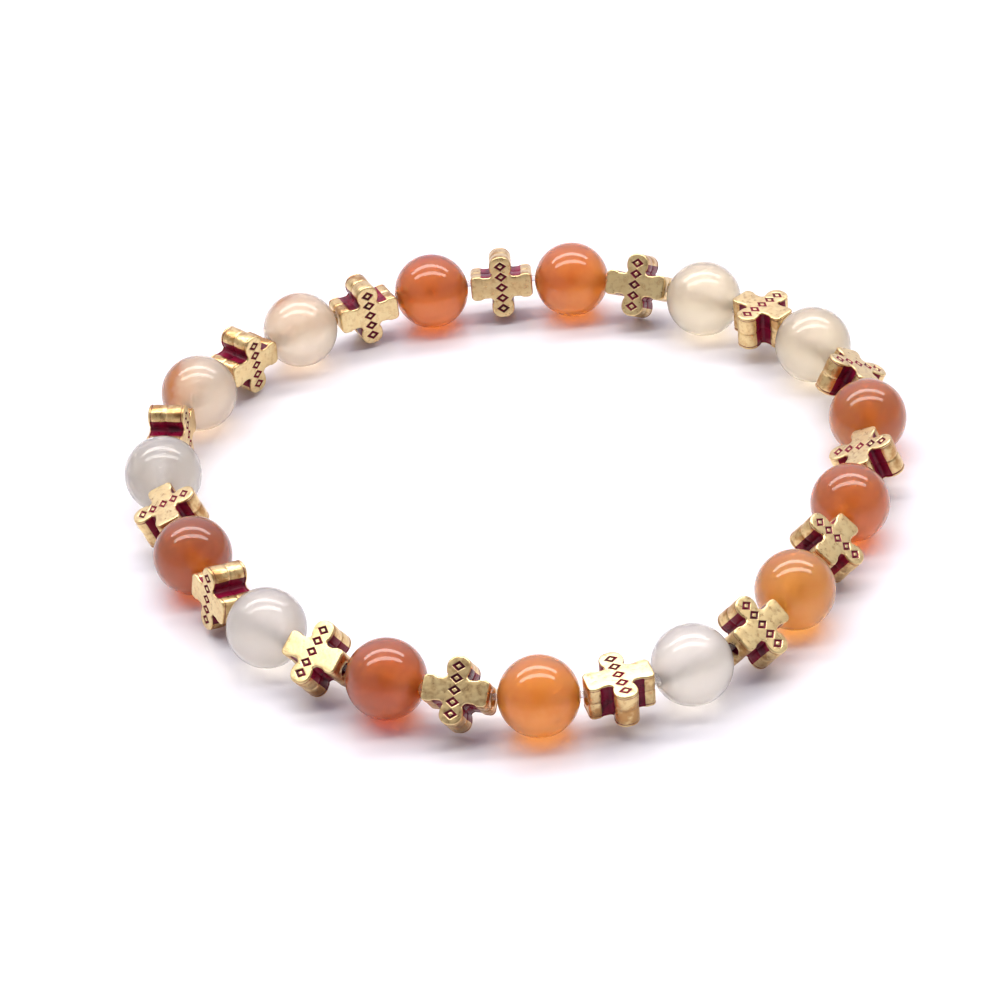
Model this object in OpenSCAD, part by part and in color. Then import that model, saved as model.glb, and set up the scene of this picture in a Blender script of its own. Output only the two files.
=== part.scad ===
// Beaded stretch bracelet: round agate beads and engraved cross beads take turns on one elastic thread.
// The bracelet lies flat on z = 0, with the wrist hollow along Z and its box centred on the origin.

/* [Round beads] */
// diameter of a round agate bead
bead_d = 6; // [6:0.5:10]
// hole drilled through a round bead
bead_hole_d = 0.9; // [0.7:0.1:2]

/* [Cross beads] */
// length of the plain arm, which the thread runs through
arm_len = 5; // [4:0.1:8]
// width of the plain arm beside the crossing
arm_w = 1.75; // [1.65:0.05:2]
// width of the plain arm at its two ends
arm_end_w = 2; // [1.75:0.05:3]
// length of the engraved bar, which lies across the thread
bar_len = 5.1; // [4.2:0.1:5.6]
// width of the engraved bar beside the crossing
bar_w = 1.5; // [1.2:0.05:1.8]
// width of the engraved bar at its two ends
bar_end_w = 1.8; // [1.7:0.05:2.6]
// thickness of a cross bead from face to face
cross_t = 2.9; // [2:0.1:3.2]
// hole cast through the plain arm
cross_hole_d = 1.2; // [0.9:0.1:1.4]
// width of the seam groove round the rim, halfway between the faces
seam_w = 0.16; // [0.1:0.02:0.6]
// depth of the seam groove
seam_deep = 0.08; // [0.05:0.01:0.3]
// number of engraved lozenges on each face
lozenges = 5; // [1:1:5]
// size of one lozenge across the bar
lozenge_w = 1.04; // [0.6:0.01:1.1]
// size of one lozenge along the bar
lozenge_len = 0.77; // [0.6:0.01:0.85]
// size of the pip left standing in the middle of a lozenge, as a share of the lozenge
pip_share = 0.43; // [0.2:0.01:0.5]
// depth of the engraving
engrave_deep = 0.14; // [0.05:0.01:0.4]

/* [Stringing] */
// diameter of the elastic thread
thread_d = 0.5; // [0.3:0.05:0.6]
// space on the thread between one bead and the next
bead_gap = 0.3; // [0.3:0.05:0.6]
// how far a cross bead sags below the thread, where the floor lets it
cross_drop = 0.15; // [0:0.05:0.2]
// place of the first round bead round the loop, in degrees
first_bead = -96.6; // [-180:0.1:180]

/* [Hidden] */
$fn = 48;
pi = 3.14159265;
// the loop is a little out of round: number of high spots, swell as a share of the radius, angle of one high spot
WAVES = [
    [2, 0.029, -67],
    [3, 0.038, 32],
    [4, 0.008, 13],
    [5, 0.012, 8],
];
// one pair after the other, anticlockwise: stone of the round bead, roll of the cross bead after it
// about the thread (0 lies face up, 90 stands face out, -90 stands face in), swing of that cross bead
PAIRS = [
    ["orange", 5, 4],
    ["clear", 40, 3],
    ["orange", 40, -3],
    ["russet", -20, 1],
    ["orange", 30, 0],
    ["cream", 0, -2],
    ["cream", -55, 2],
    ["orange", -75, 0],
    ["russet", -85, 0],
    ["peach", -90, 3],
    ["peach", -90, 2],
    ["clear", 20, -4],
    ["russet", 80, 0],
    ["clear", 35, 0],
    ["russet", 40, 0],
];
// colour of each kind of stone
STONES = [
    ["orange", [0.87, 0.50, 0.20]],
    ["russet", [0.72, 0.35, 0.20]],
    ["peach", [0.91, 0.76, 0.60]],
    ["cream", [0.93, 0.87, 0.78]],
    ["clear", [0.84, 0.82, 0.81]],
];
gold = [0.84, 0.72, 0.48];
thread_white = [0.93, 0.93, 0.92];

pairs = len(PAIRS);
bead_r = bead_d / 2;
bead_link = bead_d + bead_gap;
arm_link = arm_len + bead_gap;
arm_r = 0.4;
bar_r = 0.8;
arm_pad = 1.1;
bar_pad = 1.7;
notch_r = 0.3;
seam_overlap = 0.1;
lozenge_pitch = bar_len / (lozenges + 0.8);
thread_sides = 12;
hole_past = 1;

// radius of the loop at angle a, as a share of its mean radius
function swell(a, i = 0) =
    i == len(WAVES) ? 1 : WAVES[i][1] * cos(WAVES[i][0] * (a - WAVES[i][2])) + swell(a, i + 1);
function at(r, a) = r * swell(a) * [cos(a), sin(a)];
function degrees(x) = x * 180 / pi;
function link_len(i) = i % 2 == 0 ? bead_link : arm_link;
// angle where a straight link of length l ends that starts at angle a, closing in on it n times from b
function link_end(r, a, l, b, n = 7) =
    n == 0 ? b : link_end(r, a, l, b + degrees(l - norm(at(r, b) - at(r, a))) / r, n - 1);
// angles where the links meet, from link i at angle a to the last one
function meets(r, a, i = 0) =
    i == 2 * pairs ? [a]
    : concat([a], meets(r, link_end(r, a, link_len(i), a + degrees(link_len(i)) / r), i + 1));
// mean radius at which the last link ends where the first one starts
function closed_r(r, n = 6) =
    n == 0 ? r : let (m = meets(r, first_bead)) closed_r(r * (m[2 * pairs] - m[0]) / 360, n - 1);

loop_r = closed_r(pairs * (bead_link + arm_link) / (2 * pi));
raw_ends = [for (a = meets(loop_r, first_bead)) at(loop_r, a)];
raw_beads = [for (i = [0:pairs - 1]) (raw_ends[2 * i] + raw_ends[2 * i + 1]) / 2];
bead_xs = [for (p = raw_beads) p[0]];
bead_ys = [for (p = raw_beads) p[1]];
middle = [min(bead_xs) + max(bead_xs), min(bead_ys) + max(bead_ys)] / 2;
ends = [for (p = raw_ends) p - middle];

function heading(i) = let (d = ends[i + 1] - ends[i]) atan2(d[1], d[0]);
function centre(i) = (ends[i] + ends[i + 1]) / 2;
// how far below its own middle a cross bead reaches at this roll
function reach(roll) = abs(sin(roll)) * bar_len / 2 + abs(cos(roll)) * cross_t / 2;
function drop(roll) = min(cross_drop, bead_r - reach(roll));
function stone_colour(name) = [for (s = STONES) if (s[0] == name) s[1]][0];

// a place on the thread, with X along it and Y towards the wrist
module on_link(i, sag) {
    translate([centre(i)[0], centre(i)[1], bead_r - sag]) rotate([0, 0, heading(i)]) children();
}

module agate_bead(i) {
    color(stone_colour(PAIRS[i][0])) on_link(2 * i, 0) rotate([0, 90, 0]) rotate_extrude() intersection() {
        circle(d = bead_d);
        translate([bead_hole_d / 2, -bead_r]) square([bead_d, bead_d]);
    }
}

module rounded(l, w, r) {
    square([l - 2 * r, w], center = true);
    square([l, w - 2 * r], center = true);
    for (x = [-1, 1], y = [-1, 1]) translate([x * (l / 2 - r), y * (w / 2 - r)]) circle(r);
}

// one bar along X: a straight trunk with a wider rounded pad at each end
module waisted_bar(l, w, end_w, pad, r, inset) {
    square([l - pad, w - 2 * inset], center = true);
    for (x = [-1, 1]) translate([x * (l - pad) / 2, 0]) rounded(pad - 2 * inset, end_w - 2 * inset, r - inset);
}

// fillets where the bars cross
module crossing(inset) {
    half = [bar_w, arm_w] / 2 - [inset, inset];
    for (x = [0, 1], y = [0, 1]) mirror([x, 0]) mirror([0, y]) translate(half) difference() {
        translate([-notch_r, -notch_r]) square(2 * notch_r);
        translate([notch_r, notch_r]) circle(notch_r);
    }
}

module cross_outline(inset) {
    waisted_bar(arm_len, arm_w, arm_end_w, arm_pad, arm_r, inset);
    rotate(90) waisted_bar(bar_len, bar_w, bar_end_w, bar_pad, bar_r, inset);
    crossing(inset);
}

module lozenge(w, l) {
    polygon([[w / 2, 0], [0, l / 2], [-w / 2, 0], [0, -l / 2]]);
}

module engraving() {
    for (side = [-1, 1], k = [0:lozenges - 1])
        translate([0, (k - (lozenges - 1) / 2) * lozenge_pitch, side * cross_t / 2])
            linear_extrude(2 * engrave_deep, center = true) difference() {
                lozenge(lozenge_w, lozenge_len);
                lozenge(pip_share * lozenge_w, pip_share * lozenge_len);
            }
}

module cross_body() {
    half_t = (cross_t - seam_w) / 2;
    difference() {
        union() {
            for (side = [-1, 1]) translate([0, 0, side * (half_t + seam_w) / 2])
                linear_extrude(half_t, center = true) cross_outline(0);
            linear_extrude(seam_w + 2 * seam_overlap, center = true) cross_outline(seam_deep);
        }
        rotate([0, 90, 0]) cylinder(d = cross_hole_d, h = arm_len + hole_past, center = true);
        engraving();
    }
}

module cross_bead(i) {
    color(gold) on_link(2 * i + 1, drop(PAIRS[i][1])) rotate([0, 0, PAIRS[i][2]])
        rotate([PAIRS[i][1], 0, 0]) cross_body();
}

// the thread runs straight through every bead and turns only in the gaps: one ring of points at each turn
module elastic_thread() {
    n = 2 * pairs;
    rings = [for (i = [0:n - 1]) let (
        into = heading((i + n - 1) % n),
        turn = (heading(i) - into + 540) % 360 - 180,
        mitre = into + turn / 2 - 90,
        side = [cos(mitre), sin(mitre)] / cos(turn / 2)
    ) [for (k = [0:thread_sides - 1]) let (a = 360 * k / thread_sides)
        [ends[i][0] + side[0] * thread_d / 2 * cos(a), ends[i][1] + side[1] * thread_d / 2 * cos(a),
         bead_r + thread_d / 2 * sin(a)]]];
    faces = [for (i = [0:n - 1], k = [0:thread_sides - 1]) let (
        next = (i + 1) % n, up = (k + 1) % thread_sides
    ) [i * thread_sides + k, next * thread_sides + k, next * thread_sides + up, i * thread_sides + up]];
    color(thread_white) polyhedron(points = [for (ring = rings) each ring], faces = faces, convexity = 4);
}

agate_bead(0);  // agate_bead_01
agate_bead(1);  // agate_bead_02
agate_bead(2);  // agate_bead_03
agate_bead(3);  // agate_bead_04
agate_bead(4);  // agate_bead_05
agate_bead(5);  // agate_bead_06
agate_bead(6);  // agate_bead_07
agate_bead(7);  // agate_bead_08
agate_bead(8);  // agate_bead_09
agate_bead(9);  // agate_bead_10
agate_bead(10);  // agate_bead_11
agate_bead(11);  // agate_bead_12
agate_bead(12);  // agate_bead_13
agate_bead(13);  // agate_bead_14
agate_bead(14);  // agate_bead_15
cross_bead(0);  // cross_bead_01
cross_bead(1);  // cross_bead_02
cross_bead(2);  // cross_bead_03
cross_bead(3);  // cross_bead_04
cross_bead(4);  // cross_bead_05
cross_bead(5);  // cross_bead_06
cross_bead(6);  // cross_bead_07
cross_bead(7);  // cross_bead_08
cross_bead(8);  // cross_bead_09
cross_bead(9);  // cross_bead_10
cross_bead(10);  // cross_bead_11
cross_bead(11);  // cross_bead_12
cross_bead(12);  // cross_bead_13
cross_bead(13);  // cross_bead_14
cross_bead(14);  // cross_bead_15
elastic_thread();
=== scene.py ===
"""Looks of a beaded stretch bracelet: polished agate beads and cast gold-toned crosses on clear thread.

All lengths are in metres, in the frame's own axes. In a bead's own axes X runs along the thread, Y points
to the wrist and Z is up, or out of a cross bead's engraved face.
"""

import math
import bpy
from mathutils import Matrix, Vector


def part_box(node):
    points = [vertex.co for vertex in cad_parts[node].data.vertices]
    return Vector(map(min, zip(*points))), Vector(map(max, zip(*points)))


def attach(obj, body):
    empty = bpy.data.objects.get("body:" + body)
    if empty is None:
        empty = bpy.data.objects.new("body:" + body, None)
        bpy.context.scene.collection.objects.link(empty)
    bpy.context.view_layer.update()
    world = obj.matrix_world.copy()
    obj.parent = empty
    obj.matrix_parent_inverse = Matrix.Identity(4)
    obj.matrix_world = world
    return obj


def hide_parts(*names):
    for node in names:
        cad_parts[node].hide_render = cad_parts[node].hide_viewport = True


bl_info = {
    "name": "Agate and Cross Bead Bracelet",
    "version": (1, 0, 0),
    "blender": (4, 5, 0),
    "location": "3D View > Sidebar > Bracelet",
    "description": "Dresses a bracelet of agate and cross beads, and sets up a small studio",
    "category": "Object",
}

from typing import NamedTuple

import bpy
import numpy as np
from bpy.props import FloatProperty, FloatVectorProperty, IntProperty, PointerProperty
from mathutils import Matrix

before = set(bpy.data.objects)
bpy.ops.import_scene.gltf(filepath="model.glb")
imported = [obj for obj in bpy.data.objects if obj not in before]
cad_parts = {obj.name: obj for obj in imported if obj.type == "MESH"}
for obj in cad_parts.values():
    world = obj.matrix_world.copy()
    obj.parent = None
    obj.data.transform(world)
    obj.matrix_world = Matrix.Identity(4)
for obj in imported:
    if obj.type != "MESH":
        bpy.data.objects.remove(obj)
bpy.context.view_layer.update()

MM = 0.001
TAU = 2 * math.pi
BODY = "root"


def frame_height(node):
    """Height of the frame's own solid of this name."""
    low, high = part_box(node)
    return high.z - low.z


def linear(code):
    """An sRGB hex colour as linear red, green and blue, by the standard's own curve."""
    parts = np.array([int(code[i:i + 2], 16) for i in (1, 3, 5)]) / 255
    return tuple(np.where(parts <= 0.04045, parts / 12.92, ((parts + 0.055) / 1.055) ** 2.4))


def rgba(colour):
    """A colour with full alpha, as a node's socket takes it."""
    return (*colour, 1.0)


# How the loop is strung

# the loop is a little out of round: high spots, swell as a share of the radius, and degrees to one of them
WAVES = (
    (2, 0.029, -67),
    (3, 0.038, 32),
    (4, 0.008, 13),
    (5, 0.012, 8),
)


class Pair(NamedTuple):
    """A round bead and the cross bead after it. All angles are in degrees."""

    stone: str
    roll: float  # of the cross bead about the thread: 0 lies face up, 90 stands face out
    swing: float  # of the cross bead about the vertical
    turn: float  # about Z, of the way that the stone's layers run and its body pales toward
    tilt: float  # of that way, down from Z; most point down and to the front, so the top is painted shade and the low front a painted glow
    lean: float  # how strongly the layers, and that painted shade and glow, show
    pale: float  # how pale the stone is, from -1 dark to 1 pale


# one pair after the other, anticlockwise
PAIRS = [Pair(*row) for row in (
    ("orange", 5, 4, -90, 150, 0.25, 0.15),
    ("clear", 40, 3, -60, 150, 0.80, 0.35),
    ("orange", 40, -3, -60, 140, 0.30, 0.50),
    ("russet", -20, 1, -120, 125, 0.60, 0.70),
    ("orange", 30, 0, 100, 150, 0.40, -0.30),
    ("cream", 0, -2, -80, 150, 0.80, 0.45),
    ("cream", -55, 2, -80, 150, 0.90, 0.40),
    ("orange", -75, 0, -10, 130, 0.55, -0.40),
    ("russet", -85, 0, -80, 160, 0.70, 0.25),
    ("peach", -90, 3, -70, 150, 0.70, 0.25),
    ("peach", -90, 2, -15, 95, 1.70, 0.30),
    ("clear", 20, -4, -80, 150, 0.60, 0.60),
    ("russet", 80, 0, -100, 60, 0.50, -0.10),
    ("clear", 35, 0, -110, 150, 0.80, 0.35),
    ("russet", 40, 0, -60, 40, 0.50, -0.22),
)]
CLOSING_ROUNDS = 6  # rounds that close the loop
LINK_ROUNDS = 7  # rounds that find where a link ends on it
PLACE_OFF = 0.05 * MM  # the most that a piece may lie off its solid
WELD = 1e-5 * MM  # points nearer to each other than this become one


class Stone(NamedTuple):
    """How one kind of agate looks, beside the main colour that the settings hold."""

    dark: str
    pale: str
    passes: float  # share of the light that passes straight on
    glow: tuple  # how far red, green and blue of the rest spread, as shares of SOAKS_MM


STONES = {name: Stone(*row) for name, row in (
    ("orange", ("#DA701A", "#FCBA54", 0.89, (1.0, 0.50, 0.22))),
    ("russet", ("#B44010", "#F48C2A", 0.89, (1.0, 0.42, 0.20))),
    ("peach", ("#CC7414", "#FFF6E2", 0.90, (1.0, 0.75, 0.55))),
    ("cream", ("#E8D8C0", "#FFF4D8", 0.90, (1.0, 0.88, 0.74))),
    ("clear", ("#DAD4D0", "#FFFAEC", 0.90, (1.0, 0.94, 0.88))),
)}


# Settings

def length_setting(name, description, default, **limits):
    """A length in metres."""
    return FloatProperty(
        name=name, description=description, default=default, unit="LENGTH", subtype="DISTANCE", precision=5,
        **limits,
    )


def angle_setting(name, description, degrees):
    """An angle, kept in radians."""
    return FloatProperty(
        name=name, description=description, default=math.radians(degrees), unit="ROTATION", subtype="ANGLE",
    )


def colour_setting(name, description, code):
    """A colour, kept as linear red, green and blue."""
    return FloatVectorProperty(
        name=name, description=description, default=linear(code), subtype="COLOR", size=3, min=0, max=1,
    )


class StringSettings(bpy.types.PropertyGroup):
    """Sizes of the beads and of the thread that they are strung on."""

    bead_d: length_setting(
        "Bead diameter", "Diameter of a round agate bead", frame_height("agate_bead_01"),
        min=4 * MM, max=10 * MM,
    )
    bead_gap: length_setting(
        "Bead gap", "Space on the thread between one bead and the next", 0.3 * MM, min=0.1 * MM, max=1 * MM,
    )
    cross_drop: length_setting(
        "Cross drop", "How far a cross bead sags below the thread", 0.15 * MM, min=0, max=0.3 * MM,
    )
    first_bead: angle_setting("First bead", "Place of the first round bead round the loop", -96.6)
    thread_d: length_setting(
        "Thread diameter", "Diameter of the elastic thread", frame_height("elastic_thread"),
        min=0.2 * MM, max=1 * MM,
    )
    tone: colour_setting("Thread colour", "Colour of the clear thread", "#F4F2F0")


class AgateSettings(bpy.types.PropertyGroup):
    """Drilling and main colours of the round beads."""

    hole_d: length_setting("Hole", "Diameter of the drilled hole", 0.9 * MM, min=0.6 * MM, max=2 * MM)
    lip: length_setting(
        "Hole lip", "Width of the eased edge at each mouth", 0.1 * MM, min=0.02 * MM, max=0.3 * MM,
    )
    around: IntProperty(
        name="Steps around", description="Faces of a bead round the drilling", min=24, max=256, default=96,
    )
    along: IntProperty(
        name="Steps along", description="Faces of a bead from hole to hole", min=24, max=256, default=60,
    )
    orange: colour_setting("Orange agate", "Main colour of the orange beads", "#EE982E")
    russet: colour_setting("Russet agate", "Main colour of the russet beads", "#D26E1A")
    peach: colour_setting("Peach agate", "Main colour of the peach beads", "#F8E4C8")
    cream: colour_setting("Cream agate", "Main colour of the cream beads", "#FCEED4")
    clear: colour_setting("Clear agate", "Main colour of the clear beads", "#F8F3EA")


class CrossSettings(bpy.types.PropertyGroup):
    """Sizes and colours of the cross beads. The bar lies across the thread, and the plain arm along it."""

    arm_len: length_setting("Arm length", "Length of the plain arm, which the thread runs through", 5 * MM)
    arm_w: length_setting("Arm width", "Width of the plain arm beside the crossing", 1.75 * MM)
    arm_end_w: length_setting("Arm end width", "Width of the plain arm at its two ends", 2 * MM)
    bar_len: length_setting("Bar length", "Length of the engraved bar", frame_height("cross_bead_10"))
    bar_w: length_setting("Bar width", "Width of the engraved bar beside the crossing", 1.5 * MM)
    bar_end_w: length_setting("Bar end width", "Width of the engraved bar at its two ends", 1.8 * MM)
    thick: length_setting(
        "Thickness", "Thickness of a cross bead from face to face", frame_height("cross_bead_06"),
    )
    hole_d: length_setting("Hole", "Hole cast through the plain arm", 1.2 * MM)
    edge: length_setting("Edge rounding", "Radius of the tumbled edge round each face", 0.16 * MM)
    engrave_deep: length_setting("Engraving depth", "Depth of the lozenges cut into each face", 0.14 * MM)
    lozenges: IntProperty(
        name="Lozenges", description="Number of engraved lozenges on each face", min=1, max=5, default=5,
    )
    face_gold: colour_setting("Face gold", "Gold plate on the rubbed faces", "#EEDAA6")
    wall_gold: colour_setting("Wall gold", "Gold plate on the side walls, which rub less", "#E8CE98")
    amber: colour_setting("Amber lacquer", "Thin lacquer left in blotches on the side walls", "#A86C30")
    # the antiquing colour is also painted shade in the notches and the groove under the rim
    antique_and_shade: colour_setting(
        "Antiquing", "Dark lacquer left in the notches, the engraving and the seam", "#8C1236",
    )


class StageSettings(bpy.types.PropertyGroup):
    """The camera and the white floor."""

    look_at: FloatVectorProperty(
        name="Look at", description="Point on the floor at the middle of the picture", subtype="XYZ",
        size=3, unit="LENGTH", precision=5, default=(-1.547 * MM, 1.393 * MM, 0),
    )
    distance: length_setting("Distance", "From the camera to that point", 342.4 * MM)
    elevation: angle_setting("Elevation", "Height of the camera above the horizon", 34.674)
    roll: angle_setting("Roll", "Turn of the camera about its line of sight", -5.709)
    lens: FloatProperty(
        name="Lens", description="Focal length on a 36 mm sensor", unit="CAMERA", min=10, max=400,
        default=160.06,
    )
    floor_white: colour_setting("Floor", "Colour of the glossy white board", "#F4F4F6")


# Layout of the string, as the frame's solids have it

def swell(angle):
    """Radius of the loop at an angle, as a share of its mean radius: one cosine for each wave."""
    return 1 + sum(size * math.cos(n * (angle - math.radians(peak))) for n, size, peak in WAVES)


def loop_point(radius, angle):
    """The point at this angle on a loop of this mean radius."""
    return radius * swell(angle) * np.array([math.cos(angle), math.sin(angle)])


def meets(radius, start, lengths):
    """Angles where the links meet on a loop of this mean radius, each closed in on by repeated steps."""
    angles = [start]
    for length in lengths:
        here = loop_point(radius, angles[-1])
        angle = angles[-1] + length / radius
        for _ in range(LINK_ROUNDS):
            angle += (length - np.linalg.norm(loop_point(radius, angle) - here)) / radius
        angles.append(angle)
    return angles


def strung_places(strung, cross):
    """Middle and heading of every link, and the points where links meet, on the loop that just closes.

    A link is a bead with its gap. The mean radius is changed by the share of a full turn that the last
    link ends past or short of the first.
    """
    lengths = [strung.bead_d + strung.bead_gap, cross.arm_len + strung.bead_gap] * len(PAIRS)
    radius = sum(lengths) / TAU
    for _ in range(CLOSING_ROUNDS):
        angles = meets(radius, strung.first_bead, lengths)
        radius *= (angles[-1] - angles[0]) / TAU
    ends = np.array([loop_point(radius, a) for a in meets(radius, strung.first_bead, lengths)])
    beads = (ends[0:-1:2] + ends[1::2]) / 2
    ends -= (beads.min(axis=0) + beads.max(axis=0)) / 2
    steps = np.diff(ends, axis=0)
    return (ends[:-1] + ends[1:]) / 2, np.arctan2(steps[:, 1], steps[:, 0]), ends[:-1]


def turned(axis, angle):
    """Rotation matrix about X or Z."""
    c, s = math.cos(angle), math.sin(angle)
    i, j = {"X": (1, 2), "Z": (0, 1)}[axis]
    matrix = np.eye(3)
    matrix[i, i], matrix[i, j], matrix[j, i], matrix[j, j] = c, -s, s, c
    return matrix


# Meshes

def beside(*parts):
    """Arrays, or single numbers for all of them, side by side on a new last axis."""
    return np.stack(np.broadcast_arrays(*parts), -1)


def grid_quads(rows, columns, close_rows=False, close_columns=False):
    """Faces of a grid of vertices numbered row by row, each turning from its row to the next."""
    r, c = np.indices((rows if close_rows else rows - 1, columns if close_columns else columns - 1))
    r1, c1 = (r + 1) % rows, (c + 1) % columns
    here, there = r * columns, r1 * columns
    return beside(here + c, here + c1, there + c1, there + c).reshape(-1, 4)


def volume(points, faces):
    """Six times the volume inside closed faces, which is above zero if they point out."""
    total = 0.0
    for f in faces:
        for k in range(1, f.shape[1] - 1):
            a, b, c = points[f[:, (0, k, k + 1)]].transpose(1, 0, 2)
            total += (a * np.cross(b, c)).sum()
    return total


def check_shape(name, node, points, faces):
    """Stops the script if a new piece is inside out or isn't where the frame has its solid."""
    if volume(points, faces) <= 0:
        raise RuntimeError(f"{name} is inside out")
    low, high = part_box(node)
    off = np.abs(points.min(axis=0) + points.max(axis=0) - np.array(low) - np.array(high)).max() / 2
    if off > PLACE_OFF:
        raise RuntimeError(f"{name} is {off / MM:.3f} mm away from its solid")


def make_piece(name, points, faces, node, material, attributes=()):
    """A smooth mesh object at the origin. It rides on the body and stands for the frame's node."""
    check_shape(name, node, points, faces)
    mesh = bpy.data.meshes.new(name)
    mesh.from_pydata(points.tolist(), [], [face for f in faces for face in f.tolist()], shade_flat=False)
    for key, values in dict(attributes).items():
        kind, field = ("FLOAT_VECTOR", "vector") if values.ndim == 2 else ("FLOAT", "value")
        layer_and_shade = mesh.attributes.new(key, kind, "POINT")
        layer_and_shade.data.foreach_set(field, values.ravel())
    if mesh.validate():
        raise RuntimeError(f"{name} has faces that aren't whole")
    mesh.materials.append(material)
    piece = bpy.data.objects.new(name, mesh)
    bpy.context.scene.collection.objects.link(piece)
    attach(piece, BODY)
    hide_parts(node)


def welded(points, faces, extras):
    """Joins points that lie in one place and drops unused ones. extras are arrays beside the points."""
    key = np.round(points / WELD).astype(np.int64)
    _, first, inverse = np.unique(key, axis=0, return_index=True, return_inverse=True)
    inverse = inverse.ravel()
    faces = [inverse[f] for f in faces]
    used = np.unique(np.concatenate([f.ravel() for f in faces]))
    place = np.full(len(first), -1)
    place[used] = np.arange(len(used))
    kept = first[used]
    return points[kept], [place[f] for f in faces], {name: values[kept] for name, values in extras.items()}


# Round bead and thread

LIP_STEPS = 4  # mesh steps round the drilled hole's lip
DRILLED_STEPS = 7  # mesh steps along the hole
BEND_STEPS = 5  # mesh steps of the thread round each bend
THREAD_SIDES = 20  # mesh steps round the thread


def bead_surface(strung, agate):
    """A drilled ball in its own axes: points, faces and which points lie in the bore.

    A closed profile is carried round the drill axis X. It is (R cos t, R sin t) from mouth to mouth, an
    eased lip, the straight bore back and the other lip.
    """
    radius, bore = strung.bead_d / 2, agate.hole_d / 2
    mouth = math.asin((bore + agate.lip) / radius)
    t = np.linspace(mouth, math.pi - mouth, agate.along + 1)
    outer = radius * beside(np.cos(t), np.sin(t))
    ease = np.linspace(0, math.pi / 2, LIP_STEPS + 1)[1:]
    lip = (outer[-1, 0], bore) + agate.lip * (1 - beside(np.cos(ease), np.sin(ease)))
    inner = np.linspace(lip[-1], lip[-1] * (-1, 1), DRILLED_STEPS + 1)[1:-1]
    profile = np.concatenate([outer, lip, inner, (lip * (-1, 1))[::-1]])
    a = np.linspace(0, TAU, agate.around, endpoint=False)
    along, across = profile[:, None, 0], profile[:, None, 1]
    points = beside(along, across * np.sin(a), across * np.cos(a)).reshape(-1, 3)
    drilled = np.repeat(profile[:, 1] < bore + agate.lip / 2, len(a)).astype(float)
    return points, grid_quads(len(profile), len(a), close_rows=True, close_columns=True), drilled


def thread_surface(strung, headings, ends):
    """A round profile carried along the loop: straight in each bead, and round a bend in each gap.

    The bend is the quadratic curve from one heading to the next that a pull round the corner gives.
    """
    before = np.roll(headings, 1)
    into, out = beside(np.cos(before), np.sin(before)), beside(np.cos(headings), np.sin(headings))
    t = np.linspace(0, 1, BEND_STEPS + 1)[None, :, None]
    start, end = ends - into * strung.bead_gap, ends + out * strung.bead_gap
    bend = (1 - t) ** 2 * start[:, None] + 2 * t * (1 - t) * ends[:, None] + t ** 2 * end[:, None]
    path = bend.reshape(-1, 2)
    ahead = np.roll(path, -1, axis=0) - np.roll(path, 1, axis=0)
    ahead /= np.linalg.norm(ahead, axis=1)[:, None]
    side = beside(ahead[:, 1], -ahead[:, 0])
    a = np.linspace(0, TAU, THREAD_SIDES, endpoint=False)
    radius = strung.thread_d / 2
    flat = path[:, None] + side[:, None] * np.cos(a)[None, :, None] * radius
    points = beside(flat[..., 0], flat[..., 1], strung.bead_d / 2 + radius * np.sin(a)).reshape(-1, 3)
    return points, grid_quads(len(path), len(a), close_rows=True, close_columns=True)[:, ::-1]


# Cross bead

NOTCH_R = 0.3 * MM  # radius of the four inner corners
ARM_R = 0.4 * MM  # radius of the plain arm's outer corners
BAR_R = 0.8 * MM  # radius of the bar's outer corners
ARM_PAD = 1.1 * MM  # how far the plain arm's wide end reaches
BAR_PAD = 1.7 * MM  # how far the bar's wide end reaches
RIM_SAG = 0.03 * MM  # how far a face is drawn down at its rim
SAG_REACH = 0.16 * MM  # how far in from the rim that fades
NOTCH_LACQUER_AND_SHADE = 0.50 * MM  # how far past an inner corner the dark lacquer, which is also painted shade there, lies whole
NOTCH_FADE = 0.14 * MM  # how far on from there it ends
GRID = 0.055 * MM  # spacing of mesh lines along the bar, which the lozenges' edges follow
GRID_ACROSS = 0.0743 * MM  # their spacing across the bar
STRIP = 7  # mesh lines on each side of the bar's middle that keep that spacing
SIDE_STEPS = 4  # mesh steps from that strip to the bar's side
PITCH = 16  # mesh lines from one lozenge to the next
LOZENGE = 7  # mesh lines from a lozenge's middle to its tips
PIP = 3  # mesh lines from its middle to the tips of the pip left standing in it
SPILL = 0.5  # mesh lines that the lacquer reaches past the cut
ROOT = 17  # mesh lines from the middle to where the bar leaves the crossing
FILLET_STEPS = 4  # mesh steps round an inner corner, on the plain arm
ARM_STEPS = 10  # mesh steps from there along the plain arm
ARM_CORNER_STEPS = 9  # mesh steps round the plain arm's outer corner
BAR_CORNER_STEPS = 8  # mesh steps round the bar's outer corner
RIM_STEPS = 4  # mesh steps round the tumbled edge
BORE_STEPS = 6  # mesh steps along the thread hole
# the side wall from the rounded rim to the seam: height as a share of half the thickness, millimetres
# inside the outline, and how much dark lacquer it holds: painted shade along the groove under the rim,
# antiquing at the seam
WALL = (
    (0.860, 0.020, 0.35),
    (0.835, 0.042, 0.55),
    (0.810, 0.036, 0.40),
    (0.770, 0.018, 0.10),
    (0.690, 0.004, 0.00),
    (0.540, 0.000, 0.00),
    (0.345, 0.006, 0.00),
    (0.200, 0.020, 0.05),
    (0.110, 0.028, 0.06),
    (0.065, 0.040, 0.14),
    (0.040, 0.062, 0.26),
    (0.000, 0.070, 0.30),
)
HOLE_ROW = 0.345  # the row of WALL that the thread hole's mouth is cut to
HOLE_COLUMN = 14  # the mesh line across the plain arm that it is cut to
DRAWN_COLUMNS = 6  # mesh lines past the plain arm's end that are still drawn in to the mouth
DRAWN_REACH = 0.8  # how far round the mouth they are, as a share of its size


def smooth(x):
    """0 below 0, 1 above 1 and 3x2 - 2x3 between."""
    x = np.clip(x, 0, 1)
    return x * x * (3 - 2 * x)


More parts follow.
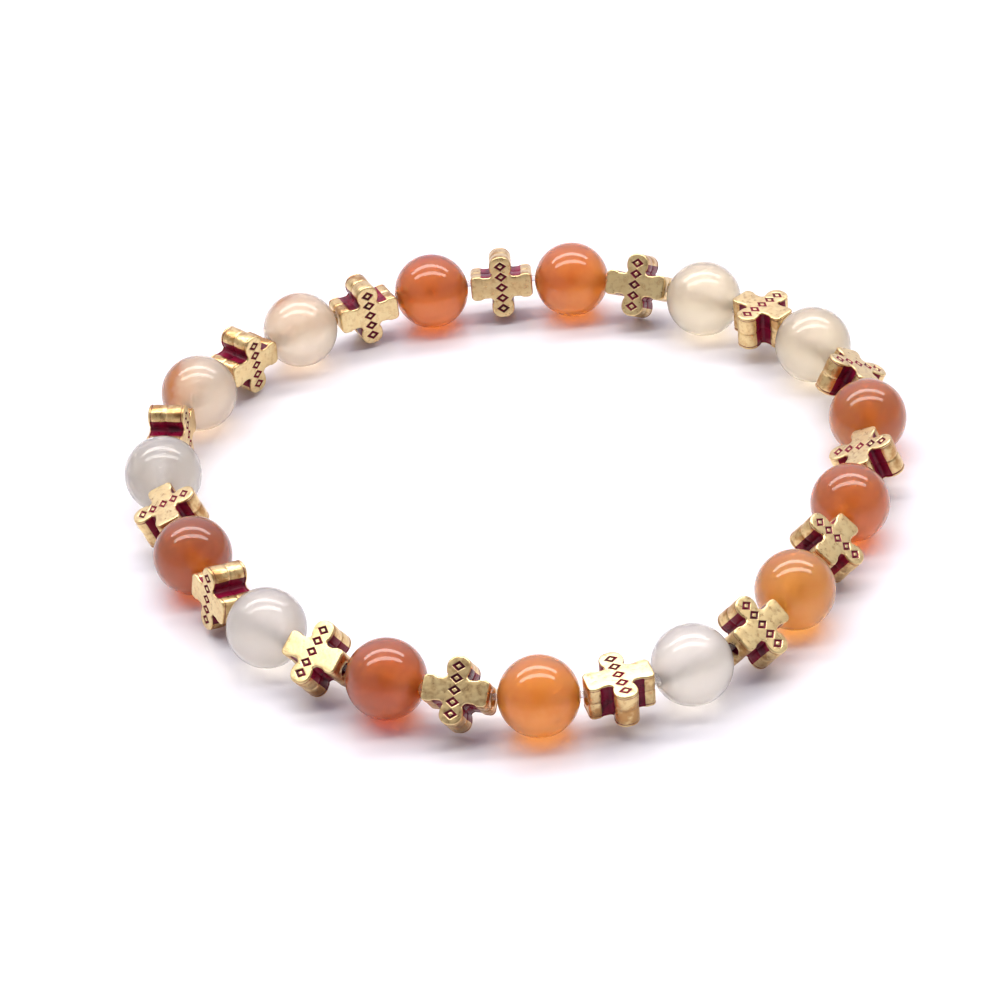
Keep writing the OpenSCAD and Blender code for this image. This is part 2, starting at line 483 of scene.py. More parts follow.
def cut_squares(flat, off):
    """Triangles of a grid of flat points, anticlockwise. off is how far up the bar each point lies from
    the middle of its lozenge, and each square is cut the way that the lozenge's edge runs there."""
    quads = grid_quads(*flat.shape[:2])
    flat = flat.reshape(-1, 2)
    falling = (flat[quads, 0].mean(axis=1) * off[quads].mean(axis=1) > 0)[:, None]
    a, b, c, d = quads.T
    one = np.where(falling, beside(a, b, d), beside(a, b, c))
    two = np.where(falling, beside(b, c, d), beside(a, c, d))
    both = np.concatenate([one, two])
    p, q = flat[both[:, 1]] - flat[both[:, 0]], flat[both[:, 2]] - flat[both[:, 0]]
    anticlockwise = p[:, 0] * q[:, 1] - p[:, 1] * q[:, 0] > 0
    return np.where(anticlockwise[:, None], both, both[:, ::-1])


class Arm:
    """Half of one bar of the cross, from the crossing to its tip, as distances along and across it.

    The side is a fillet arc, a slow widening and a rounded corner. Each takes an inset, so that one set of
    mesh lines serves every row of the wall. At the face's own inset, edge, they lie on the stations.
    """

    def __init__(self, length, root_w, end_w, corner, pad, corner_steps, other_w, edge, stations):
        self.tip, self.root, self.end = length / 2, root_w / 2, end_w / 2
        self.corner, self.corner_steps, self.edge = corner, corner_steps, edge
        self.widen_from = self.tip - pad
        self.fillet_end = other_w / 2 + NOTCH_R
        self.arc_from = self.tip - corner
        self.stations = stations
        self.fillet = stations[stations < self.fillet_end]
        self.side = stations[(stations >= self.fillet_end) & (stations <= self.arc_from)]
        self.round = stations[stations > self.arc_from]
        self.face = self.line(edge)

    def line(self, inset):
        """Points of the side at this inset, from the crossing to the tip: along, across."""
        sink = (self.fillet_end - self.fillet) / (NOTCH_R + self.edge)
        rise = np.sqrt(1 - sink ** 2)
        radius = NOTCH_R + inset
        fillet = beside(self.fillet_end - radius * sink, self.root + NOTCH_R - radius * rise)
        wide = smooth((self.side - self.widen_from) / self.corner)
        side = beside(self.side, self.root + (self.end - self.root) * wide - inset)
        turn = np.arcsin((self.round - self.arc_from) / (self.corner - self.edge))
        last = turn[-1] if len(turn) else 0.0
        turn = np.concatenate([turn, np.linspace(last, math.pi / 2, self.corner_steps + 1)[1:]])
        radius = self.corner - inset
        arc = (self.arc_from, self.end - self.corner) + radius * beside(np.sin(turn), np.cos(turn))
        return np.concatenate([fillet, side, arc])


class CrossShape:
    """The surface of a cast cross bead in its own axes.

    Both faces are grids over the crossing and its four arms. The wall is the outline carried down through
    the rows of WALL, each drawn in from it, and the bore joins the two mouths in the plain arm's ends.
    """

    def __init__(self, cross):
        self.cross = cross
        self.rows = np.arange(-ROOT, ROOT + 1)
        fillet_end = cross.bar_w / 2 + NOTCH_R
        sink = (cross.arm_w / 2 + NOTCH_R - ROOT * GRID) / (NOTCH_R + cross.edge)
        self.root_x = fillet_end - (NOTCH_R + cross.edge) * math.sqrt(1 - sink ** 2)
        last_line = (cross.lozenges - 1) / 2 * PITCH + LOZENGE + 1
        self.bar = Arm(
            cross.bar_len, cross.bar_w, cross.bar_end_w, BAR_R, BAR_PAD, BAR_CORNER_STEPS,
            cross.arm_w, cross.edge, np.arange(ROOT, last_line + 1) * GRID,
        )
        self.plain = Arm(
            cross.arm_len, cross.arm_w, cross.arm_end_w, ARM_R, ARM_PAD, ARM_CORNER_STEPS,
            cross.bar_w, cross.edge, np.concatenate([
                np.linspace(self.root_x, fillet_end, FILLET_STEPS + 1)[:-1],
                np.linspace(fillet_end, cross.arm_len / 2 - ARM_R, ARM_STEPS + 1),
            ]),
        )
        strip = np.arange(-STRIP, STRIP + 1) * GRID_ACROSS
        outer = np.linspace(0, 1, SIDE_STEPS + 1)[1:]
        self.share = np.concatenate([-outer[::-1], np.zeros(len(strip)), outer])
        self.fixed = np.concatenate([np.full(SIDE_STEPS, strip[0]), strip, np.full(SIDE_STEPS, strip[-1])])

    def across_bar(self, width, along):
        """Mesh lines across the bar where it is this wide, this far along it: fixed lines in the middle
        strip, then even steps to the side. Past the lozenges all lines draw in to the narrow tip."""
        fixed = self.fixed + self.share * (width[:, None] - abs(self.fixed[0]))
        even = width[:, None] * np.linspace(-1, 1, len(self.fixed))
        lozenge_end, tip = self.bar.stations[-1], self.bar.face[-1, 0]
        near_tip = smooth((along - lozenge_end) / (tip - lozenge_end))[:, None]
        return fixed * (1 - near_tip) + even * near_tip

    def patches(self):
        """Grids of flat points over a face: the crossing, the bar's two halves and the plain arm's two."""
        bar, plain, rows = self.bar.face, self.plain.face, self.rows[:, None]
        crossing = beside(self.across_bar(np.array([self.root_x]), np.zeros(1)), rows * GRID)
        up = beside(self.across_bar(bar[:, 1], bar[:, 0]), bar[:, :1])
        right = beside(plain[:, 0], rows / ROOT * plain[:, 1])
        return crossing, up, -up[:, ::-1], right, right[:, ::-1] * (-1, 1)

    def height(self, x, y):
        """Height of the face: flat, drawn down a little along its rim, with a row of lozenges cut in. Also
        how much lacquer it holds there, and how far up the bar from the lozenge's middle that is.

        A lozenge is where |x| and |y - middle|, counted in mesh lines, add up to less than its reach, and
        its pip is where they add up to less again.
        """
        cross = self.cross
        in_bar = np.minimum(cross.bar_w / 2 - np.abs(x), cross.bar_len / 2 - np.abs(y))
        in_arm = np.minimum(cross.arm_w / 2 - np.abs(y), cross.arm_len / 2 - np.abs(x))
        rim = RIM_SAG * np.exp(-np.maximum(np.maximum(in_bar, in_arm), 0) / SAG_REACH)
        last = cross.lozenges // 2
        off = y - np.clip(np.round(y / (PITCH * GRID)), -last, last) * PITCH * GRID
        reach = np.abs(x) / GRID_ACROSS + np.abs(off) / GRID
        cut = np.clip(LOZENGE - reach, 0, 1) * np.clip(reach - PIP, 0, 1)
        held = np.clip(LOZENGE + SPILL - reach, 0, 1) * np.clip(reach - PIP + SPILL, 0, 1)
        return cross.thick / 2 - rim - cross.engrave_deep * cut, held, off

    def faces(self):
        """The two engraved faces: points, triangles and how much lacquer each point holds."""
        points, triangles, lacquer = [], [], []
        start = 0
        for side in (1, -1):
            for flat in self.patches():
                x, y = flat.reshape(-1, 2).T
                z, held, off = self.height(x, y)
                points.append(beside(x, y, side * z))
                triangles.append(cut_squares(flat, off)[:, ::side] + start)
                lacquer.append(held)
                start += len(x)
        return np.concatenate(points), np.concatenate(triangles), np.concatenate(lacquer)

    def half_outline(self, inset):
        """Half a turn round the cross at this inset, anticlockwise from the right arm's lower corner."""
        right, up = self.plain.line(inset), self.bar.line(inset)
        end_y = self.rows[1:-1] / ROOT * (self.plain.end - self.plain.corner)
        right_end = beside(self.plain.tip - inset, end_y)
        end_x = np.linspace(-1, 1, len(self.fixed))[::-1][1:-1] * (self.bar.end - self.bar.corner)
        up_end = beside(end_x, self.bar.tip - inset)
        return np.concatenate([
            right * (1, -1), right_end, right[::-1],
            up[1:, ::-1], up_end, up[1:][::-1, ::-1] * (-1, 1),
        ])

    def wall_rows(self):
        """Height, inset and dark lacquer of each row of the wall from face to face, the lacquer painted
        shade
        under the rim and antiquing at the seam: a quarter circle round the rim, then the rows of WALL to the
        seam, and the same again below it."""
        half, edge = self.cross.thick / 2, self.cross.edge
        turn = np.linspace(0, math.pi / 2, RIM_STEPS + 1)
        rim = [(half - edge * (1 - math.cos(a)), edge * (1 - math.sin(a)), 0.0) for a in turn]
        upper = np.array(rim + [(half * height, MM * inset, held) for height, inset, held in WALL])
        return np.concatenate([upper, upper[-2::-1] * (-1, 1, 1)])

    def draw_to_mouth(self, side, hole, reach_z):
        """Draws the wall of the plain arm's end in to the round mouth of the hole.

        A square of half sides reach_y and reach_z becomes a circle of the hole's radius, each point
        keeping its angle and its share of the way out, and past the square that fades.
        """
        reach_y = HOLE_COLUMN / ROOT * (self.plain.end - self.plain.corner)
        past = ROOT - HOLE_COLUMN + DRAWN_COLUMNS
        near = slice(hole[0] - past, hole[-1] + past + 1)
        y, z = side[:, near, 1] / reach_y, side[:, near, 2] / reach_z
        out = np.maximum(np.abs(y), np.abs(z))
        angle = np.arctan2(z, y)
        blend = smooth((out - 1) / DRAWN_REACH)[..., None]
        mouth = self.cross.hole_d / 2 * out[..., None] * beside(np.cos(angle), np.sin(angle))
        side[:, near, 1:] = (1 - blend) * mouth + blend * side[:, near, 1:]

    def wall(self):
        """The side wall without its two mouths: points, faces, how much dark lacquer each point holds,
        partly painted shade in the notches and under the rim, whether it is past the rim, and the points
        round each mouth, in the same order."""
        rows = self.wall_rows()
        flat = np.stack([self.half_outline(inset) for inset in rows[:, 1]])
        side = beside(flat[..., 0], flat[..., 1], rows[:, :1])
        x, y = flat[0].T
        side[0, :, 2] = self.height(x, y)[0]
        side[-1, :, 2] = -side[0, :, 2]
        middle = len(self.plain.face) - 1 + ROOT
        hole = np.arange(middle - HOLE_COLUMN, middle + HOLE_COLUMN + 1)
        low = int(np.argmin(np.abs(rows[:, 0] - HOLE_ROW * self.cross.thick / 2)))
        high = len(rows) - 1 - low
        self.draw_to_mouth(side, hole, rows[low, 0])
        side = np.concatenate([side, side * (-1, -1, 1)], axis=1)

        count, half_turn = side.shape[1], flat.shape[1]
        quads = grid_quads(len(rows), count, close_columns=True)[:, ::-1]
        row, column = np.divmod(np.arange(len(quads)), count)
        column %= half_turn
        in_hole = (row >= low) & (row < high) & (column >= hole[0]) & (column < hole[-1])
        points = side.reshape(-1, 3)
        mouths = [points[np.concatenate([
            low * count + across, np.arange(low + 1, high) * count + across[-1],
            high * count + across[::-1], np.arange(high - 1, low, -1) * count + across[0],
        ])] for across in (hole, hole[::-1] + half_turn)]

        # the notches are painted shade as well as antiquing: the dark lacquer fills each inner corner and
        # runs on past it onto the walls, where the shade falls
        past_corner = np.maximum(np.abs(x) - self.plain.fillet_end, np.abs(y) - self.bar.fillet_end)
        in_notch = np.tile(1 - smooth((past_corner - NOTCH_LACQUER_AND_SHADE) / NOTCH_FADE), 2)
        depth = np.minimum(np.arange(len(rows)), np.arange(len(rows))[::-1])[:, None]
        held = np.maximum(rows[:, 2:], in_notch * (depth >= RIM_STEPS))
        past_rim = np.repeat(depth >= RIM_STEPS - 1, count).astype(float)
        return points, quads[~in_hole], held.ravel(), past_rim, mouths

    def surface(self):
        """The whole bead: points, faces, how much dark lacquer, antiquing and painted shade, and how much
        wall gold each point has.
        """
        face_points, triangles, face_held = self.faces()
        wall_points, quads, wall_held, past_rim, (near, far) = self.wall()
        bore = np.linspace(near, far, BORE_STEPS + 1).reshape(-1, 3)
        bore_quads = grid_quads(BORE_STEPS + 1, len(near), close_columns=True)[:, ::-1]
        wall_start = len(face_points)
        bore_start = wall_start + len(wall_points)
        return welded(
            np.concatenate([face_points, wall_points, bore]),
            [triangles, quads + wall_start, bore_quads + bore_start],
            {
                "antique_and_shade": np.concatenate([face_held, wall_held, np.ones(len(bore))]),
                "wall": np.concatenate([np.zeros(len(face_points)), past_rim, np.ones(len(bore))]),
            },
        )


# Materials

SOAKS_MM = 2.0  # how far light spreads in a stone
CLOUD_MM = 2.6  # size of the clouds in a stone
CLOUD_SHARE = 0.55  # how far along the colour ramp the clouds move it
LAYER_TURN = 9.0  # radians that the fine layers turn through from a stone's middle to its skin
LAYER_SHARE = 0.035  # how far along the colour ramp they move it
PIT_MM = 0.35  # size of the dimples in the cast skin
WEAR_MM = 0.7  # size of the patches where the plate is rubbed
WEAR_HEIGHT = 0.5  # their height beside the dimples'
BLOTCH_MM = 1.6  # size of the blotches of amber lacquer
RAGGED = 0.7  # how far the rubbed patches move the edge of the dark lacquer
HAZE_MM = 0.5  # size of the haze in the thread
SOFT = {"interpolation_type": "SMOOTHSTEP"}
COLOURS = {"data_type": "RGBA"}


def per(size_mm):
    """Scale at which a pattern on metres repeats in this many millimetres."""
    return 1 / (size_mm * MM)


def add_node(tree, kind, links=(), **settings):
    """Adds one node. kind is its type's name after ShaderNode, and settings are its properties. links are
    its inputs, by name or number: a value, a socket, or a node, whose first output in use is linked."""
    node = tree.nodes.new("ShaderNode" + kind)
    for name, value in settings.items():
        setattr(node, name, value)
    in_use = {socket.name: socket for socket in reversed(node.inputs) if socket.enabled}
    for name, value in dict(links).items():
        socket = in_use.get(name, node.inputs[name])
        if isinstance(value, bpy.types.Node):
            value = next(output for output in value.outputs if output.enabled)
        if isinstance(value, bpy.types.NodeSocket):
            tree.links.new(value, socket)
        else:
            socket.default_value = value
    return node


def new_material(name):
    """An empty material and its node tree."""
    material = bpy.data.materials.new(name)
    material.use_nodes = True
    material.node_tree.nodes.clear()
    return material, material.node_tree


def build_agate(name, shades, stone):
    """Agate, banded chalcedony ground round and tumbled to a wet polish. It gives the eye a sharp glossy
    skin over a cloudy body that light soaks into and partly passes, drifting from dark to pale. The drift
    is painted shade on one side of the bead and a painted glow on the other, with real layers on it.

    shades are the dark, main and pale colours of the body, and stone is its row of STONES.
    """
    material, tree = new_material(name)
    place = add_node(tree, "Attribute", attribute_name="stone").outputs["Vector"]
    # how far along the bead's pale way each point lies: it gives the fine layers, and the painted shade and
    # glow
    layer_and_shade = add_node(tree, "Attribute", attribute_name="layer_and_shade").outputs["Fac"]
    drilled = add_node(tree, "Attribute", attribute_name="drilled").outputs["Fac"]
    cloud = add_node(
        tree, "TexNoise", {"Vector": place, "Scale": per(CLOUD_MM), "Detail": 3.0, "Roughness": 0.55},
    )
    # fine growth layers, a few millimetres apart and bent by the clouds
    wave = add_node(tree, "Math", {0: layer_and_shade, 1: LAYER_TURN}, operation="MULTIPLY")
    bent = add_node(tree, "Math", {0: cloud, 1: LAYER_TURN, 2: wave}, operation="MULTIPLY_ADD")
    line = add_node(tree, "Math", {0: bent}, operation="SINE")
    # the broad drift from dark to pale, painted shade on one side of the bead and a painted glow on
    # the other, then the clouds and the fine layers on it
    lean = add_node(
        tree, "MapRange",
        {"Value": layer_and_shade, "From Min": -1.0, "From Max": 1.0, "To Min": 0.18, "To Max": 0.82}, **SOFT,
    )
    drift = add_node(tree, "Math", {0: cloud, 1: CLOUD_SHARE, 2: lean}, operation="MULTIPLY_ADD")
    lined = add_node(tree, "Math", {0: line, 1: LAYER_SHARE, 2: drift}, operation="MULTIPLY_ADD")
    tone = add_node(tree, "Math", {0: lined, 1: CLOUD_SHARE / 2}, operation="SUBTRACT")
    ramp = add_node(tree, "ValToRGB", {"Fac": tone})
    ramp.color_ramp.interpolation = "EASE"
    stops = ramp.color_ramp.elements
    stops.new(0.5)
    for stop, at, shade in zip(stops, (0.12, 0.5, 0.88), shades):
        stop.position, stop.color = at, rgba(shade)
    # the drill leaves the wall of the hole matt and whitish
    bore = add_node(tree, "Math", {0: drilled, 1: 0.9}, operation="MULTIPLY")
    colour = add_node(tree, "Mix", {"Factor": bore, "A": ramp, "B": rgba(linear("#FFFAF4"))}, **COLOURS)
    shader = add_node(
        tree, "BsdfPrincipled", {
            "Base Color": colour, "Roughness": 0.65, "IOR": 1.54, "Specular IOR Level": 0.0,
            "Subsurface Weight": 1.0, "Subsurface Scale": SOAKS_MM * MM, "Subsurface Radius": stone.glow,
            "Transmission Weight": stone.passes,
            "Coat Weight": 0.9, "Coat Roughness": 0.03, "Coat IOR": 1.54,
        },
    )
    add_node(tree, "OutputMaterial", {"Surface": shader})
    return material


def build_gold(cross):
    """Gold plate on cast zinc alloy, tumbled so that the faces rub pale and bright, then antiqued: a dark
    wine lacquer wiped off the high places stays in the notches, the engraving and the seam. In the notches
    and the groove under the rim it is also painted shade."""
    material, tree = new_material("antiqued_gold_plate")
    place = add_node(tree, "TexCoord").outputs["Object"]
    wall = add_node(tree, "Attribute", attribute_name="wall").outputs["Fac"]
    # how much dark lacquer each point holds, partly painted shade in the notches and under the rim
    antique_and_shade = add_node(tree, "Attribute", attribute_name="antique_and_shade").outputs["Fac"]
    pits, wear, blotch = [
        add_node(tree, "TexNoise", {"Vector": place, "Scale": per(mm), "Detail": detail, "Roughness": rough})
        for mm, detail, rough in ((PIT_MM, 3.0, 0.5), (WEAR_MM, 4.0, 0.6), (BLOTCH_MM, 3.0, 0.6))
    ]
    # the plate is deeper in colour on the walls and in patches on the faces, and paler where it is rubbed
    deep = add_node(tree, "MapRange", {"Value": wear, "From Min": 0.40, "From Max": 0.62, "To Max": 0.8})
    deep = add_node(tree, "Math", {0: wall, 1: deep}, operation="MAXIMUM")
    gold = add_node(
        tree, "Mix", {"Factor": deep, "A": rgba(cross.face_gold), "B": rgba(cross.wall_gold)}, **COLOURS,
    )
    # thin amber lacquer: in the dimples, and in blotches on the walls
    grime = add_node(
        tree, "MapRange",
        {"Value": pits, "From Min": 0.34, "From Max": 0.56, "To Min": 0.30, "To Max": 0.0}, **SOFT,
    )
    amber = add_node(
        tree, "MapRange", {"Value": blotch, "From Min": 0.46, "From Max": 0.62, "To Max": 0.70}, **SOFT,
    )
    on_wall = add_node(tree, "Math", {0: amber, 1: wall}, operation="MULTIPLY")
    thin = add_node(tree, "Math", {0: on_wall, 1: grime}, operation="MAXIMUM")
    stained = add_node(tree, "Mix", {"Factor": thin, "A": gold, "B": rgba(cross.amber)}, **COLOURS)
    # dark lacquer, with a ragged edge, and nearly black where it lies thick; in the notches and the groove
    # under the rim it is painted shade as well as antiquing
    ragged = add_node(tree, "Math", {0: wear, 1: RAGGED, 2: antique_and_shade}, operation="MULTIPLY_ADD")
    held = add_node(tree, "MapRange", {"Value": ragged, "From Min": 0.62, "From Max": 0.95}, **SOFT)
    thick = add_node(
        tree, "Mix", {"Factor": amber, "A": rgba(cross.antique_and_shade), "B": rgba(linear("#3A0A1A"))}, **COLOURS,
    )
    colour = add_node(tree, "Mix", {"Factor": held, "A": stained, "B": thick}, **COLOURS)
    metal = add_node(tree, "MapRange", {"Value": held, "To Min": 1.0, "To Max": 0.0})
    rough = add_node(
        tree, "MapRange",
        {"Value": pits, "From Min": 0.3, "From Max": 0.75, "To Min": 0.26, "To Max": 0.40},
    )
    height = add_node(tree, "Math", {0: wear, 1: WEAR_HEIGHT, 2: pits}, operation="MULTIPLY_ADD")
    bump = add_node(tree, "Bump", {"Height": height, "Strength": 0.55, "Distance": 0.02 * MM})
    shader = add_node(
        tree, "BsdfPrincipled", {
            "Base Color": colour, "Metallic": metal, "Roughness": rough, "Normal": bump,
            "Specular IOR Level": 0.25,
        },
    )
    add_node(tree, "OutputMaterial", {"Surface": shader})
    return material


def build_thread_plastic(strung):
    """Clear polyurethane elastic, extruded. It gives the eye a soft bright line, cloudy from stretching."""
    material, tree = new_material("clear_polyurethane_elastic")
    place = add_node(tree, "TexCoord").outputs["Object"]
    haze = add_node(tree, "TexNoise", {"Vector": place, "Scale": per(HAZE_MM), "Detail": 2.0})
    colour = add_node(
        tree, "Mix", {"Factor": haze, "A": rgba(strung.tone), "B": rgba(linear("#FFFFFF"))}, **COLOURS,
    )
    shader = add_node(
        tree, "BsdfPrincipled",
        {"Base Color": colour, "Roughness": 0.12, "IOR": 1.5, "Transmission Weight": 0.85},
    )
    add_node(tree, "OutputMaterial", {"Surface": shader})
    return material


# Stage

FLOOR_REACH = 2.0  # metres from the board's middle to its sides
FLOOR_LINES = 9  # mesh lines each way
# two long strips of light run left to right: the angle of each above the back of the table, in degrees
STRIPS = {"strip_overhead": 87, "strip_back": 59}
STRIP_SIZE = (0.96, 0.105)  # metres
STRIP_AWAY = 0.5  # metres from the bracelet
STRIP_RADIANCE = 6.8
STRIP_COLOUR = "#FFFAF6"
# parts of the tent: the way to each, and the cosines of the angles from it between which it fades in
TENT = {
    "overhead": ((0.0, 0.0, 1.0), 0.55, 0.90),
    "camera": ((0.0, -0.82, 0.57), 0.86, 0.98),
    "back": ((0.0, 0.82, 0.57), 0.50, 0.95),
}
SENSOR_MM = 36.0
CLIP = (0.01, 10.0)  # metres in front of the camera that it shows


def set_place(item, turn, distance, middle=(0, 0, 0)):
    """Turns a light or the camera, and puts it where it faces this point from this distance."""
    place = np.eye(4)
    place[:3, :3], place[:3, 3] = turn, turn[:, 2] * distance + np.array(middle)
    item.matrix_world = Matrix(place.tolist())
    bpy.context.scene.collection.objects.link(item)


def strip_light(name, height):
    """A flat light that runs left to right, at this angle above the back of the table, and faces the
    bracelet. Its radiance gives its watts."""
    data = bpy.data.lights.new(name, "AREA")
    data.shape = "RECTANGLE"
    data.size, data.size_y = STRIP_SIZE
    data.energy = STRIP_RADIANCE * math.pi * STRIP_SIZE[0] * STRIP_SIZE[1]
    data.color = linear(STRIP_COLOUR)
    light = bpy.data.objects.new(name, data)
    light.visible_camera = False
    set_place(light, turned("X", height - math.pi / 2), STRIP_AWAY)


def floor_board(stage):
    """A board of polished white acrylic: a flat grid, wide enough to fill any view. It gives the eye a soft
    mirror image under the beads."""
    lines = np.linspace(-FLOOR_REACH, FLOOR_REACH, FLOOR_LINES)
    x, y = np.meshgrid(lines, lines)
    mesh = bpy.data.meshes.new("white_board")
    faces = grid_quads(FLOOR_LINES, FLOOR_LINES)
    mesh.from_pydata(beside(x.ravel(), y.ravel(), 0).tolist(), [], faces.tolist())
    board = bpy.data.objects.new("white_board", mesh)
    bpy.context.scene.collection.objects.link(board)
    material, tree = new_material("glossy_white_acrylic")
    shader = add_node(
        tree, "BsdfPrincipled", {"Base Color": rgba(stage.floor_white), "Roughness": 0.22, "IOR": 1.7},
    )
    add_node(tree, "OutputMaterial", {"Surface": shader})
    mesh.materials.append(material)


def white_tent(scene):
    """A white tent with a bright wall behind, low enough to shine along the tops of the beads, and a dark
    hole for the camera. Gloss and metal mirror the tent. Everything else gets a dimmer light from it, so
    that the shadows stay, and straight to the camera it is plain white."""
    scene.world = bpy.data.worlds.new("white_tent")
    scene.world.use_nodes = True
    tree = scene.world.node_tree
    tree.nodes.clear()
    way = add_node(tree, "TexCoord").outputs["Generated"]
    share = {}
    for part, (toward, nearly, fully) in TENT.items():
        along = add_node(tree, "VectorMath", {0: way, 1: toward}, operation="DOT_PRODUCT")
        share[part] = add_node(
            tree, "MapRange", {"Value": along, "From Min": nearly, "From Max": fully}, **SOFT,
        )
    seen = add_node(tree, "LightPath").outputs
    outside = add_node(tree, "Math", {0: 1.0, 1: seen["Is Transmission Ray"]}, operation="SUBTRACT")
    mirrored = add_node(tree, "Math", {0: seen["Is Glossy Ray"], 1: outside}, operation="MULTIPLY")
    unmirrored = add_node(tree, "Math", {0: 1.0, 1: mirrored}, operation="SUBTRACT")
    shown = rgba(linear("#C6C0BE"))
    for part, code in (
        (share["overhead"], "#7C6E66"),
        (share["camera"], "#524846"),
        (unmirrored, "#767894"),
        (share["back"], "#F2ECFF"),
        (seen["Is Camera Ray"], "#FFFFFF"),
    ):
        shown = add_node(tree, "Mix", {"Factor": part, "A": shown, "B": rgba(linear(code))}, **COLOURS)
    lit = add_node(tree, "Background", {"Color": shown})
    add_node(tree, "OutputWorld", {"Surface": lit})


def front_camera(scene, stage):
    """Looks along +Y and down, rolled a little, with the stage's point in the middle of the picture."""
    data = bpy.data.cameras.new("camera")
    data.sensor_width, data.lens = SENSOR_MM, stage.lens
    data.clip_start, data.clip_end = CLIP
    scene.camera = bpy.data.objects.new("camera", data)
    turn = turned("X", math.pi / 2 - stage.elevation) @ turned("Z", stage.roll)
    set_place(scene.camera, turn, stage.distance, stage.look_at)


# Operators

# clouds differ from bead to bead, because each bead reads them at its own place, which swings in X, Y and Z
CLOUD_STEPS = (7.1, 5.3, 3.7)  # radians from one bead to the next
CLOUD_STARTS = (0, 1, 2)  # radians at the first
CLOUD_APART = 9 * MM  # how far it swings


class BRACELET_OT_stage(bpy.types.Operator):
    """Sets up the white board, the lights and the camera"""

    bl_idname = "bracelet.stage"
    bl_label = "Stage"
    bl_options = {"REGISTER", "UNDO"}

    def execute(self, context):
        scene = context.scene
        scene.view_settings.view_transform = "Standard"
        floor_board(scene.bracelet_stage)
        for name, degrees in STRIPS.items():
            strip_light(name, math.radians(degrees))
        white_tent(scene)
        front_camera(scene, scene.bracelet_stage)
        return {"FINISHED"}


class BRACELET_OT_agate_beads(bpy.types.Operator):
    """Makes the round agate beads on the string"""

    bl_idname = "bracelet.agate_beads"
    bl_label = "Agate Beads"
    bl_options = {"REGISTER", "UNDO"}

    def execute(self, context):
        scene = context.scene
        strung, agate = scene.bracelet_string, scene.bracelet_agate
        middles, headings, _ = strung_places(strung, scene.bracelet_cross)
        own, quads, drilled = bead_surface(strung, agate)
        radius = strung.bead_d / 2
        materials = {}
        for name, stone in STONES.items():
            shades = linear(stone.dark), getattr(agate, name), linear(stone.pale)
            materials[name] = build_agate(f"polished_agate_{name}", shades, stone)
        for i, pair in enumerate(PAIRS):
            placed = own @ turned("Z", headings[2 * i]).T
            a, b = math.radians(pair.turn), math.radians(pair.tilt)
            # the pale way: the layers run along it, and the body is painted paler toward it, a painted glow,
            # and darker away from it, painted shade
            axis = np.array([math.sin(b) * math.cos(a), math.sin(b) * math.sin(a), math.cos(b)])
            apart = np.sin(np.multiply(CLOUD_STEPS, i) + CLOUD_STARTS) * CLOUD_APART
            make_piece(
                f"agate_{i + 1:02d}", placed + (*middles[2 * i], radius), [quads],
                f"agate_bead_{i + 1:02d}", materials[pair.stone],
                {
                    "stone": placed + apart,
                    "layer_and_shade": placed @ axis / radius * pair.lean + pair.pale,
                    "drilled": drilled,
                },
            )
        return {"FINISHED"}


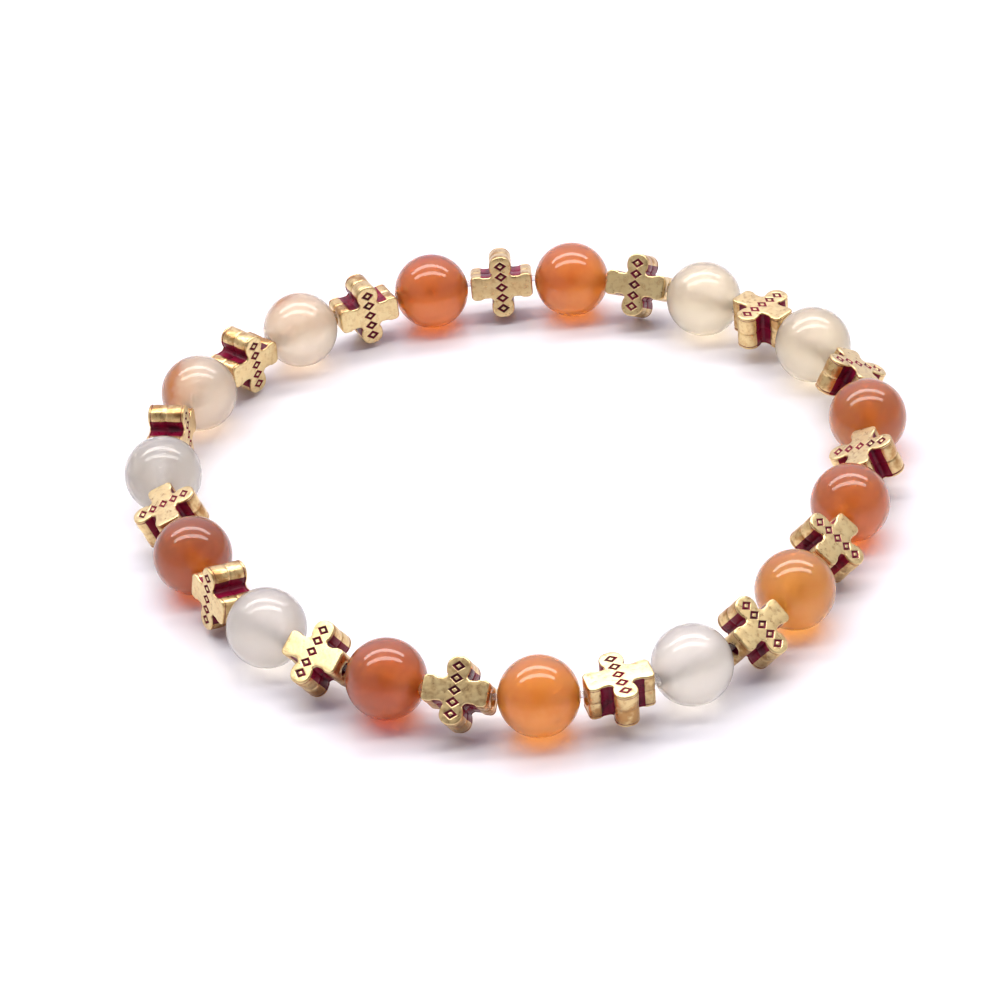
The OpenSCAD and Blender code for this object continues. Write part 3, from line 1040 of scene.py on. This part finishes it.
class BRACELET_OT_cross_beads(bpy.types.Operator):
    """Makes the cast cross beads on the string"""

    bl_idname = "bracelet.cross_beads"
    bl_label = "Cross Beads"
    bl_options = {"REGISTER", "UNDO"}

    def execute(self, context):
        scene = context.scene
        strung, cross = scene.bracelet_string, scene.bracelet_cross
        middles, headings, _ = strung_places(strung, cross)
        own, faces, marks = CrossShape(cross).surface()
        material = build_gold(cross)
        for i, pair in enumerate(PAIRS):
            # each sags on the thread as far as the floor and the play in its hole let it
            r = math.radians(pair.roll)
            reach = abs(math.sin(r)) * cross.bar_len / 2 + abs(math.cos(r)) * cross.thick / 2
            drop = min(strung.cross_drop, strung.bead_d / 2 - reach)
            matrix = turned("Z", headings[2 * i + 1] + math.radians(pair.swing)) @ turned("X", r)
            make_piece(
                f"cross_{i + 1:02d}", own @ matrix.T + (*middles[2 * i + 1], strung.bead_d / 2 - drop),
                faces, f"cross_bead_{i + 1:02d}", material, marks,
            )
        return {"FINISHED"}


class BRACELET_OT_thread(bpy.types.Operator):
    """Makes the clear elastic thread through all the beads"""

    bl_idname = "bracelet.thread"
    bl_label = "Elastic Thread"
    bl_options = {"REGISTER", "UNDO"}

    def execute(self, context):
        scene = context.scene
        strung = scene.bracelet_string
        _, headings, ends = strung_places(strung, scene.bracelet_cross)
        points, quads = thread_surface(strung, headings, ends)
        make_piece("thread", points, [quads], "elastic_thread", build_thread_plastic(strung))
        return {"FINISHED"}


# Add-on

SETTINGS = {
    StringSettings: "bracelet_string",
    AgateSettings: "bracelet_agate",
    CrossSettings: "bracelet_cross",
    StageSettings: "bracelet_stage",
}
STEPS = (BRACELET_OT_stage, BRACELET_OT_agate_beads, BRACELET_OT_cross_beads, BRACELET_OT_thread)


class BRACELET_PT_panel(bpy.types.Panel):
    """Sizes, colours and the steps that build the bracelet"""

    bl_idname = "BRACELET_PT_panel"
    bl_label = "Bracelet"
    bl_space_type = "VIEW_3D"
    bl_region_type = "UI"
    bl_category = "Bracelet"

    def draw(self, context):
        layout = self.layout
        for group, where in SETTINGS.items():
            box = layout.box()
            for name in group.__annotations__:
                box.prop(getattr(context.scene, where), name)
        for step in STEPS:
            layout.operator(step.bl_idname)


def register():
    """Registers the settings, the steps and the panel."""
    for cls in (*SETTINGS, *STEPS, BRACELET_PT_panel):
        bpy.utils.register_class(cls)
    for group, name in SETTINGS.items():
        setattr(bpy.types.Scene, name, PointerProperty(type=group))


def unregister():
    """Takes it all away again."""
    for name in SETTINGS.values():
        delattr(bpy.types.Scene, name)
    for cls in (BRACELET_PT_panel, *reversed(STEPS), *reversed(list(SETTINGS))):
        bpy.utils.unregister_class(cls)


def main():
    """Builds the stage and the bracelet."""
    register()
    bpy.ops.bracelet.stage()
    bpy.ops.bracelet.agate_beads()
    bpy.ops.bracelet.cross_beads()
    bpy.ops.bracelet.thread()


if __name__ == "__main__":
    main()
